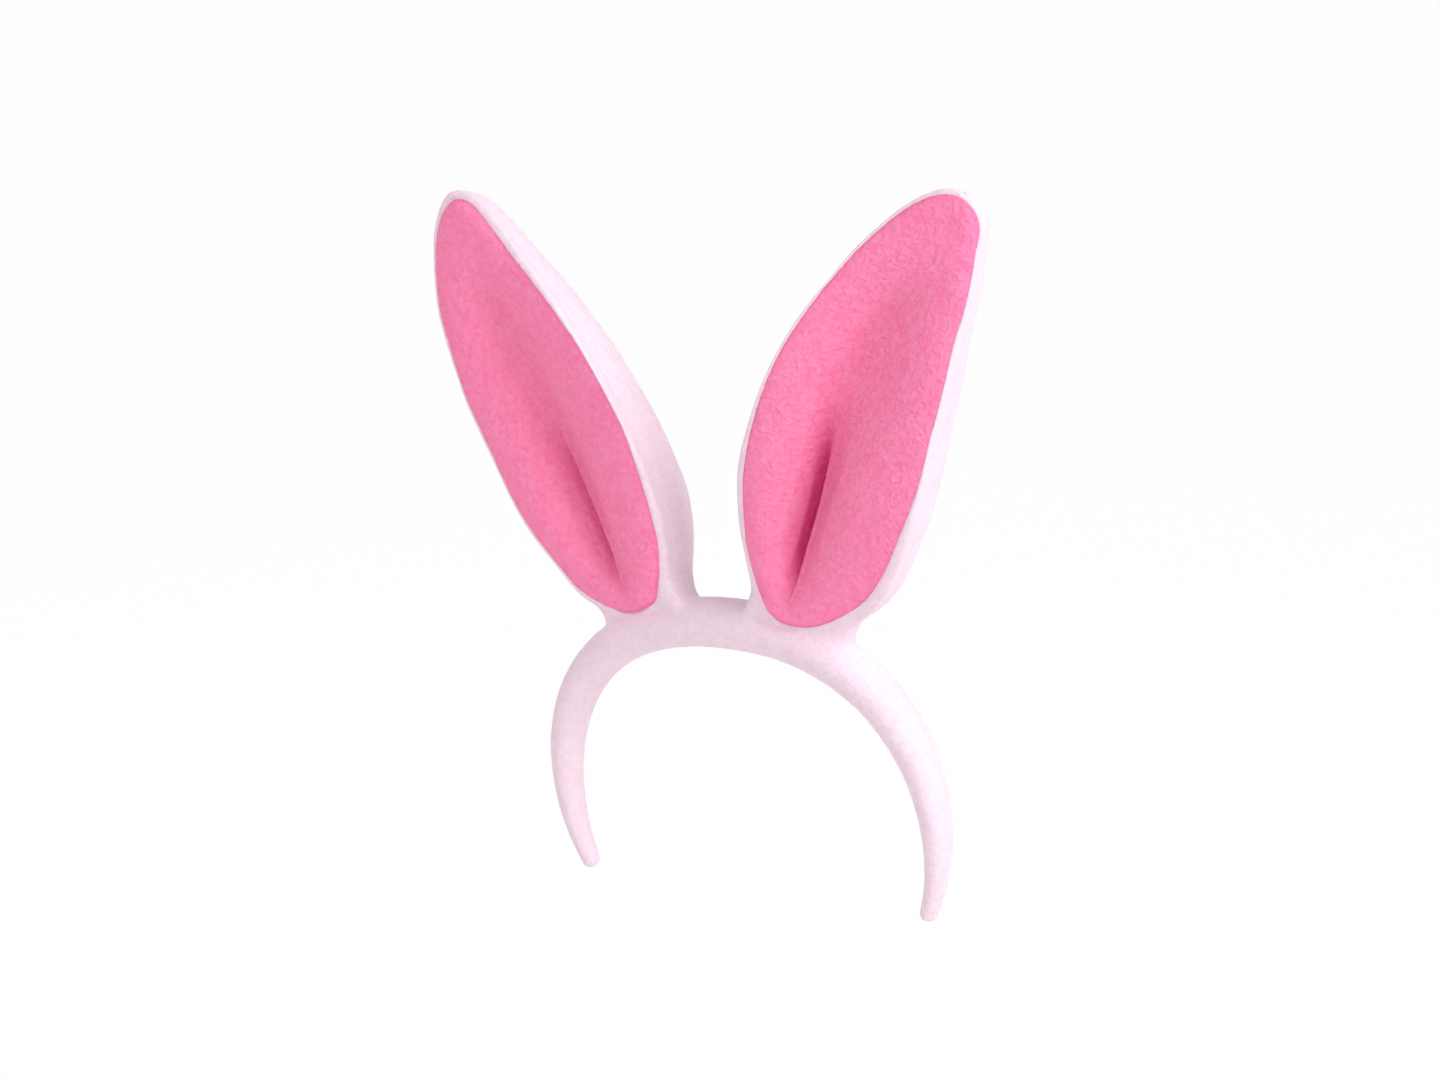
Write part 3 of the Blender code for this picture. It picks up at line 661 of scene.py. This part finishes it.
def fillet_rows(rows, side, hoop):
    """Rows that carry the ear's root down to the hoop and end flush on it."""
    root = to_frame(rows[0], side)
    above = to_frame(rows[FILLET_LEAD_ROW], side)
    middle = root.mean(axis=0)
    up = Vector(ear_frame(side).col[2][:3])
    made = []
    for point, higher in zip(root, above):
        start = Vector(point)
        down = (start - Vector(higher)).normalized()
        away = start - Vector(middle)
        away -= up * away.dot(up)
        away.normalize()
        facing = away.y ** 2
        reach = lerp(SIDE_FILLET, FRONT_FILLET if away.y < 0 else BACK_FILLET, facing)
        aim = start - up * FILLET_DROP + away * reach
        end, normal, _, _ = hoop.find_nearest(aim)
        run = end - start
        run -= normal * run.dot(normal)
        run.normalize()
        length = (end - start).length
        line = []
        for i in range(1, FILLET_ROWS + 1):
            t = i / FILLET_ROWS
            from_start = 2 * t ** 3 - 3 * t ** 2 + 1
            leaving = t ** 3 - 2 * t ** 2 + t
            to_end = -2 * t ** 3 + 3 * t ** 2
            landing = t ** 3 - t ** 2
            line.append(start * from_start + down * length * leaving + end * to_end + run * length * landing)
        line.append(end + run * FILLET_RUN_ON - normal * FILLET_BURIED)
        made.append(line)
    return [[line[i] for line in made] for i in reversed(range(FILLET_ROWS + 1))]


def make_ear_cover(name, label, side, rows, hoop):
    """The white plush of one ear: stuffed back, rolled rim and a root that flows into the hoop."""
    body = [list(row) for row in to_frame(with_front_shaped(rows, label), side)]
    foot = fillet_rows(rows, side, hoop)
    tip = to_frame(np.array([[0.0, 0.0, LINING_TOP + TIP_RIM]]), side)[0]
    mesh = mesh_of_rows(name, foot + body, start_pole=ear_frame(side).translation, end_pole=tip)
    roughen(mesh, SOFT_LUMPS, NAP)
    return piece(name, mesh)


def fold_place(label, v, low_edge, high_edge):
    """Where the fold runs at a height, kept away from both edges."""
    nearest, farthest = FOLD_LIMITS
    return np.clip(along_path(FOLD_PATH[label], v), lerp(low_edge, high_edge, nearest),
                   lerp(low_edge, high_edge, farthest))


def pillow_height(v, inward, reach, width):
    """How far a lobe swells, from nothing at its edge to full at the fold."""
    rounding = np.maximum(np.exp(-reach / PILLOW_EDGE), ramp(v, LOBES_MERGE))
    crowned = inward * (1 + rounding * (1 - inward))
    full = PILLOW * (1 - np.exp(-width / 2 / PILLOW_EDGE))
    return full * np.expm1(-crowned * reach / PILLOW_EDGE) / np.expm1(-reach / PILLOW_EDGE)


def valley_depth(v, inward):
    """The broad hollow that the two lobes share, which fades out towards the tip."""
    up = np.clip((v - EAR_BASE) / LINING_LENGTH, 0, 1)
    broad = lerp(*VALLEY_SHARPNESS, ramp(v, VALLEY_WIDENS))
    depth = VALLEY_DEPTH * smooth(inward) ** broad * np.sin(math.pi * up ** VALLEY_BELLY) ** VALLEY_FULLNESS
    return depth * (1 - ramp(v, VALLEY_ENDS))


def tuck_depth(v, inward, lap):
    """The tuck beside the fold, with lap the distance past it on the lobe that lies over the other."""
    opened = ramp(v, LAP_OPENS)
    narrowed = LOW_REACH * (1 - LOW_NARROWING * ramp(v, LOW_NARROWS))
    low = LOW_DEPTH * np.clip(1 + lap / narrowed, 0, 1) ** LOW_CURVE
    over = LAP_DEPTH * np.clip(1 - lap / LAP_REACH, 0, 1) ** 2
    edge = LAP_EDGE + VALLEY_SPREAD * opened
    covered = smooth((lap + edge * LAP_LEAD) / edge)
    strength = ramp(v, TUCK_STARTS) * (1 - TUCK_EASING * ramp(v, TUCK_EASES))
    strength = strength * (1 - ramp(v, TUCK_ENDS))
    ridge = LAP_RIDGE * (1 - opened) * np.exp(-((lap - RIDGE_PLACE) / RIDGE_WIDTH) ** 2)
    return (lerp(low, over, covered) - ridge) * strength * (1 - (1 - inward) ** TUCK_EDGE_POWER)


def crumple_height(v, lap):
    """Small slanting creases where the cloth is gathered at the fold's upper end."""
    beside = ((lap + GATHER_PLACE) / GATHER_WIDTH) ** 2
    gathered = np.exp(-beside - ((v - CRUMPLE_HEIGHT) / GATHER_LENGTH) ** 2)
    wave = 2 * math.pi * (v * CRUMPLE_SLANT - lap * CRUMPLE_SLANT) / CRUMPLE_SPACING
    return CRUMPLE * gathered * np.sin(wave)


def lining_depth(label, u, v):
    """The lining's face, back from the seam: two pillowed lobes, one lapped over the other in a valley."""
    low_edge, high_edge = lining_edge(label, -1.0, v), lining_edge(label, 1.0, v)
    width = high_edge - low_edge
    fold = fold_place(label, v, low_edge, high_edge)
    apart = u - fold
    reach = np.maximum(np.where(apart < 0, fold - low_edge, high_edge - fold), LEAST_WIDTH)
    inward = 1 - np.clip(np.abs(apart) / reach, 0, 1)
    lap = apart * SIDES[label]
    place = np.clip((u - low_edge) / np.maximum(width, LEAST_WIDTH), 0, 1)
    level = lerp(front_roll(low_edge, v), front_roll(high_edge, v), place) + LINING_SINK
    raised = level - pillow_height(v, inward, reach, width)
    return raised + valley_depth(v, inward) + tuck_depth(v, inward, lap) + crumple_height(v, lap)


def deepest_near(label, u, v, span):
    """The lining's deepest place within a span across it, for what has to stay behind the fold."""
    return np.max([lining_depth(label, u + step, v) for step in np.linspace(-span, span, SPAN_TRIES)], axis=0)


def make_lining(name, label, side):
    """The pink lining cloth, with its edge turned under the white rim."""
    grow = LINING_TURN_UNDER
    turns = np.linspace(0, math.pi, LINING_ROWS)
    even = np.linspace(0, 1, LINING_ROWS)
    bunched = (1 - np.cos(turns)) / 2
    low_end, high_end = EAR_BASE - LINING_DROP - grow, LINING_TOP + LINING_RISE[label] + grow
    heights = lerp(low_end, high_end, lerp(even, bunched, ROW_BUNCHING))
    drawn = np.linspace(0, 1, LINING_COLUMNS // 2 + 1) ** COLUMN_BUNCHING
    rows = []
    for v in heights[1:-1]:
        low, high = (float(lining_edge(label, sign, v, grow)) for sign in (-1.0, 1.0))
        middle = float(fold_place(label, v, low, high))
        front = np.concatenate([middle + (low - middle) * drawn[::-1], middle + (high - middle) * drawn[1:]])
        behind = np.linspace(high, low, LINING_BACK_COLUMNS + 2)[1:-1]
        across = np.concatenate([front, behind])
        rows.append(np.column_stack([across, np.zeros_like(across), np.full_like(across, v)]))
    rows = np.array(rows)
    u, v = rows[..., 0].ravel(), rows[..., 2].ravel()
    apart = outside_lining(label, u, v)
    face = lining_depth(label, u, v)
    rolled = EDGE_ROLL * np.exp(-(np.minimum(apart, 0) / EDGE_ROLL_WIDTH) ** 2)
    under = TURN_UNDER_SLOPE * np.maximum(apart, 0)
    rows[..., 1] = (face + rolled + under).reshape(rows.shape[:2])
    rows[:, LINING_COLUMNS + 1:, 1] += LINING_CLOTH
    ends = [to_frame(np.array([[rows[k, :, 0].mean(), rows[k, 0, 1], heights[k]]]), side)[0] for k in (0, -1)]
    placed = [list(row) for row in to_frame(rows, side)]
    mesh = mesh_of_rows(name, placed, start_pole=ends[0], end_pole=ends[1])
    roughen(mesh, LINING_NAP)
    # Painted shade: how far the lining's colour is darkened in its fold and along its seam, stored for its
    # material
    shade = mesh.attributes.new("painted_shade", "FLOAT", "POINT")
    shade.data.foreach_set("value", painted_shade_shares(label, u, v, face, apart))
    return piece(name, mesh)


def painted_shade_shares(label, u, v, face, apart):
    """How much painted shade each point of the lining, and its two end points, gets in the fold and along the
    seam.
    """
    painted_shade = np.zeros_like(face)
    for span, full in FOLD_SHADE_SPANS:
        beside = (lining_depth(label, u - span, v) + lining_depth(label, u + span, v)) / 2
        painted_shade += FOLD_SHADE_SHARE[label] * np.clip((face - beside) / full, 0, FOLD_SHADE_LIMIT)
    painted_shade *= 1 - FOLD_SHADE_FADING * ramp(v, FOLD_SHADE_FADES)
    painted_shade = np.maximum(painted_shade, PAINTED_SEAM_SHADE * np.exp(-(apart / PAINTED_SEAM_SHADE_WIDTH) ** 2))
    return np.concatenate([painted_shade, [PAINTED_SEAM_SHADE, PAINTED_SEAM_SHADE]]).astype(np.float32)


# Pieces inside the skin

def merged_copy(name, source):
    """A copy of a CAD node's mesh with its corners joined."""
    mesh = frame["nodes"][source].data.copy()
    mesh.name = name
    shape = bmesh.new()
    shape.from_mesh(mesh)
    bmesh.ops.remove_doubles(shape, verts=shape.verts, dist=CORNER_REACH)
    shape.to_mesh(mesh)
    shape.free()
    made = piece(name, mesh)
    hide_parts(source)
    return made


def make_stuffing(label, side):
    """The ear's fibre filling, pressed back behind the lining's hollow."""
    made = merged_copy(f"{label}_fibre_filling", f"{label}_ear_stuffing")
    back = ear_frame(side).inverted()
    for vertex in made.data.vertices:
        x, y, v = back @ vertex.co
        u = x * side
        behind = float(deepest_near(label, u, np.array(v), FILLING_SPAN) + seam(u, v)) + FILLING_ROOM
        if y < behind:
            vertex.co = ear_frame(side) @ Vector((x, behind, v))
    return made


def make_strip_half(label, side):
    """One half of the spring strip, cut at the crown."""
    made = merged_copy(f"{label}_spring_half", "spring_strip")
    shape = bmesh.new()
    shape.from_mesh(made.data)
    geometry = list(shape.verts) + list(shape.edges) + list(shape.faces)
    bmesh.ops.bisect_plane(shape, geom=geometry, plane_co=(0, 0, 0), plane_no=(-side, 0, 0), clear_outer=True)
    bmesh.ops.holes_fill(shape, edges=[e for e in shape.edges if e.is_boundary])
    shape.to_mesh(made.data)
    shape.free()
    return made


# Materials

def linear(colour):
    """sRGB hex to linear."""
    values = [int(colour[i:i + 2], 16) / 255 for i in (1, 3, 5)]
    return (*[c / 12.92 if c <= 0.04045 else ((c + 0.055) / 1.055) ** 2.4 for c in values], 1)


def node(tree, kind, settings=None, values=None, links=None):
    """Adds a node with its settings, input values and links from other nodes' outputs."""
    made = tree.nodes.new(kind)
    for key, value in (settings or {}).items():
        setattr(made, key, value)
    for key, value in (values or {}).items():
        made.inputs[key].default_value = value
    for key, source in (links or {}).items():
        tree.links.new(source, made.inputs[key])
    return made


def start_material(name, values):
    made = bpy.data.materials.new(name)
    made.use_nodes = True
    shader = made.node_tree.nodes["Principled BSDF"]
    for key, value in values.items():
        shader.inputs[key].default_value = value
    return made, made.node_tree, shader


def two_tones(tree, pattern, span, dark, light):
    """Colours a pattern from dark to light over a span of its values."""
    blended = node(tree, "ShaderNodeValToRGB", {}, {}, {0: pattern})
    for stop, position, colour in zip(blended.color_ramp.elements, span, (dark, light)):
        stop.position = position
        stop.color = linear(colour)
    return blended.outputs[0]


def plush(name, light, dark, deep, sheen, relief):
    """Short-pile polyester plush: a matt face of fine curled strokes of pile, a little pale at its edges.

    Painted shade: where a skin lies in a fold or along a seam, its colour is darkened towards the deep
    colour."""
    made, tree, shader = start_material(name, {
        "Roughness": 0.92, "Specular IOR Level": 0.18, "Sheen Weight": 0.12, "Sheen Roughness": 0.5,
        "Sheen Tint": linear(sheen)})
    place = node(tree, "ShaderNodeTexCoord").outputs["Object"]
    strokes = node(tree, "ShaderNodeTexNoise", {}, {"Scale": 1 / STROKE_SPACING, "Detail": 2.0,
                   "Roughness": 0.50, "Distortion": 0.7}, {"Vector": place})
    clumps = node(tree, "ShaderNodeTexNoise", {}, {"Scale": 1 / CLUMP_SPACING, "Detail": 2.0},
                  {"Vector": place})
    part = node(tree, "ShaderNodeMath", {"operation": "MULTIPLY"}, {1: 1 - STROKE_SHARE},
                {0: clumps.outputs[0]})
    tone = node(tree, "ShaderNodeMath", {"operation": "MULTIPLY_ADD"}, {1: STROKE_SHARE},
                {0: strokes.outputs[0], 2: part.outputs[0]})
    tones = two_tones(tree, tone.outputs[0], TONE_SPAN, dark, light)
    # Painted shade: the lining's attribute of painted shade mixes the colour towards the deep colour in its
    # fold and along its seam
    painted_shade = node(tree, "ShaderNodeAttribute", {"attribute_name": "painted_shade"})
    colour = node(tree, "ShaderNodeMix", {"data_type": "RGBA"}, {7: linear(deep)},
                  {0: painted_shade.outputs["Fac"], 6: tones})
    tree.links.new(colour.outputs[2], shader.inputs["Base Color"])
    bump = node(tree, "ShaderNodeBump", {}, {"Strength": relief, "Distance": PILE_HEIGHT},
                {"Height": strokes.outputs[0]})
    tree.links.new(bump.outputs[0], shader.inputs["Normal"])
    return made


def grained(name, light, dark, grain, relief, values, kind="ShaderNodeTexNoise", stretch=(1, 1, 1)):
    """A surface of two near tones in grains of a given size, raised a little by them."""
    made, tree, shader = start_material(name, values)
    place = node(tree, "ShaderNodeTexCoord").outputs["Object"]
    drawn = node(tree, "ShaderNodeMapping", {}, {"Scale": stretch}, {"Vector": place})
    grains = node(tree, kind, {}, {"Scale": 1 / grain}, {"Vector": drawn.outputs[0]})
    tones = two_tones(tree, grains.outputs[0], GRAIN_SPAN, dark, light)
    tree.links.new(tones, shader.inputs["Base Color"])
    bump = node(tree, "ShaderNodeBump", {}, {"Strength": GRAIN_STRENGTH, "Distance": relief},
                {"Height": grains.outputs[0]})
    tree.links.new(bump.outputs[0], shader.inputs["Normal"])
    return made


def set_material(item, material):
    item.data.materials.clear()
    item.data.materials.append(material)


# Staging

def make_stage():
    scene = bpy.context.scene
    scene.view_settings.view_transform = "Standard"
    world = bpy.data.worlds.new("studio")
    scene.world = world
    world.use_nodes = True
    tree = world.node_tree
    tree.nodes.clear()
    path = node(tree, "ShaderNodeLightPath")
    seen = node(tree, "ShaderNodeMath", {"operation": "MAXIMUM"}, {}, {0: path.outputs["Is Camera Ray"],
                1: path.outputs["Is Glossy Ray"]})
    clear = node(tree, "ShaderNodeMath", {"operation": "MAXIMUM"}, {}, {0: seen.outputs[0],
                 1: path.outputs["Is Transmission Ray"]})
    strength = node(tree, "ShaderNodeMapRange", {}, {3: SKY_LIGHT, 4: 1.0}, {0: clear.outputs[0]})
    sky = node(tree, "ShaderNodeBackground", {}, {"Color": (1, 1, 1, 1)}, {"Strength": strength.outputs[0]})
    node(tree, "ShaderNodeOutputWorld", {}, {}, {"Surface": sky.outputs[0]})

    bpy.ops.mesh.primitive_plane_add(size=FLOOR_SIZE, location=(0, 0, CAD_BOX[0].z - FLOOR_DROP))
    floor = bpy.context.active_object
    floor.name = "studio_floor"
    made, tree, shader = start_material("white_paper", {"Base Color": linear("#fbfbfb"), "Roughness": 1.0})
    path = node(tree, "ShaderNodeLightPath")
    glow = node(tree, "ShaderNodeEmission", {}, {"Color": (1, 1, 1, 1), "Strength": 1.0})
    share = node(tree, "ShaderNodeMath", {"operation": "MULTIPLY"}, {1: FLOOR_GLOW},
                 {0: path.outputs["Is Camera Ray"]})
    mixed = node(tree, "ShaderNodeMixShader", {}, {},
                 {0: share.outputs[0], 1: shader.outputs[0], 2: glow.outputs[0]})
    tree.links.new(mixed.outputs[0], tree.nodes["Material Output"].inputs["Surface"])
    set_material(floor, made)

    for name, place, size, power in LAMPS:
        lamp = bpy.data.lights.new(name, "AREA")
        lamp.size = size
        lamp.energy = power
        item = bpy.data.objects.new(name, lamp)
        scene.collection.objects.link(item)
        item.location = place
        item.rotation_euler = (Vector(LAMP_AIM) - item.location).to_track_quat("-Z", "Y").to_euler()


def make_camera():
    """The photograph's view, from a fit of the part's outlines to it, for a 1440 by 1080 picture."""
    azimuth, elevation, roll = (math.radians(a) for a in VIEW_ANGLES)
    back = Vector((math.sin(azimuth) * math.cos(elevation), -math.cos(azimuth) * math.cos(elevation),
                   math.sin(elevation)))
    level = Vector((math.cos(azimuth), math.sin(azimuth), 0))
    rise = back.cross(level)
    right = level * math.cos(roll) - rise * math.sin(roll)
    up = level * math.sin(roll) + rise * math.cos(roll)
    data = bpy.data.cameras.new("camera")
    data.lens = VIEW_LENS
    data.sensor_width = VIEW_SENSOR
    data.shift_x, data.shift_y = VIEW_SHIFT
    item = bpy.data.objects.new("camera", data)
    bpy.context.scene.collection.objects.link(item)
    place = Vector(VIEW_TARGET) + back * VIEW_DISTANCE
    item.matrix_world = Matrix.Translation(place) @ Matrix((right, up, back)).transposed().to_4x4()
    bpy.context.scene.camera = item


# Whole halves of the headband

def dress_arm(label, side):
    """One half of the hoop: cover and spring, and the part's foam and cap."""
    band = make_band(f"{label}_band_cover", side)
    strip = make_strip_half(label, side)
    for item, material, slot in ((band, white, "white_plush"), (strip, steel, "spring_steel")):
        set_material(item, material)
        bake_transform(item)
    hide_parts(f"{label}_arm_cover")
    if side == 1:
        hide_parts("crown_cover")
    set_material(frame["nodes"][f"{label}_arm_foam"], foam)
    set_material(frame["nodes"][f"{label}_tip_cap"], cap)


def dress_ear(label, side, rows, hoop):
    """One ear above the hoop: cover, lining, filling and wire."""
    pivot = ear_frame(side).translation
    up = Vector(ear_frame(side).col[2][:3])
    cover = make_ear_cover(f"{label}_ear_cover", label, side, rows, hoop)
    lining = make_lining(f"{label}_ear_lining_cloth", label, side)
    filling = make_stuffing(label, side)
    wire = merged_copy(f"{label}_wire_frame", f"{label}_ear_wire")
    for item, material, slot in ((cover, white, "white_plush"), (lining, pink, "pink_plush"),
                                 (filling, fibre, "fibre_fill"), (wire, soft_wire, "soft_wire")):
        set_material(item, material)
        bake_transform(item)
    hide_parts(f"{label}_ear_back", f"{label}_ear_gusset")
    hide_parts(f"{label}_ear_lining")


make_camera()
make_stage()

# Plush in two colours: the pink pile shows more relief than the white
# Each plush's third colour is painted shade for folds and seams; only the linings carry where it goes, so the
# white's has no effect
white = plush("white_plush", "#f2d9e6", "#ecd1df", "#dfbccd", "#fff4fb", relief=0.28)
pink = plush("pink_plush", "#ff90b9", "#ff80ae", "#cf3a72", "#ffb0cf", relief=0.8)

# Cold-rolled spring steel: a cool grey with fine rolling lines along the strip
steel = grained("spring_steel", "#9a9da1", "#85888c", grain=0.006, relief=0.00002,
                values={"Metallic": 1.0, "Roughness": 0.32}, stretch=(1, 10, 1))
# Drawn soft aluminium wire: pale grey, dulled by handling
soft_wire = grained("soft_aluminium", "#c3c5c8", "#aeb0b4", grain=0.0008, relief=0.00001,
                    values={"Metallic": 1.0, "Roughness": 0.42})
# Loose polyester fibre: white and cloudy, with no shine
fibre = grained("fibre_fill", "#f6f5f2", "#e6e4df", grain=0.0020, relief=0.0006,
                values={"Roughness": 1.0, "Sheen Weight": 0.3})
# Open-cell foam: cream, pitted with small round cells
foam = grained("open_cell_foam", "#ece3c6", "#cfc3a0", grain=0.0012, relief=0.0004,
               values={"Roughness": 1.0}, kind="ShaderNodeTexVoronoi")
# Moulded plastic end cap: light grey with a fine satin grain
cap = grained("moulded_plastic", "#d2d2d2", "#c6c6c6", grain=0.0005, relief=0.00002,
              values={"Roughness": 0.5})
set_material(frame["nodes"]["crown_foam"], foam)

whole_hoop = mesh_of_rows("hoop_form", list(reversed(hoop_rings(-1)[1:])) + hoop_rings(1))
hoop_tree = BVHTree.FromPolygons([v.co for v in whole_hoop.vertices],
                                 [p.vertices for p in whole_hoop.polygons])
bpy.data.meshes.remove(whole_hoop)

ear_rows = ear_body()
ear_rows = ear_rows + swelling(ear_rows)

for label, side in SIDES.items():
    dress_arm(label, side)
    dress_ear(label, side, ear_rows, hoop_tree)
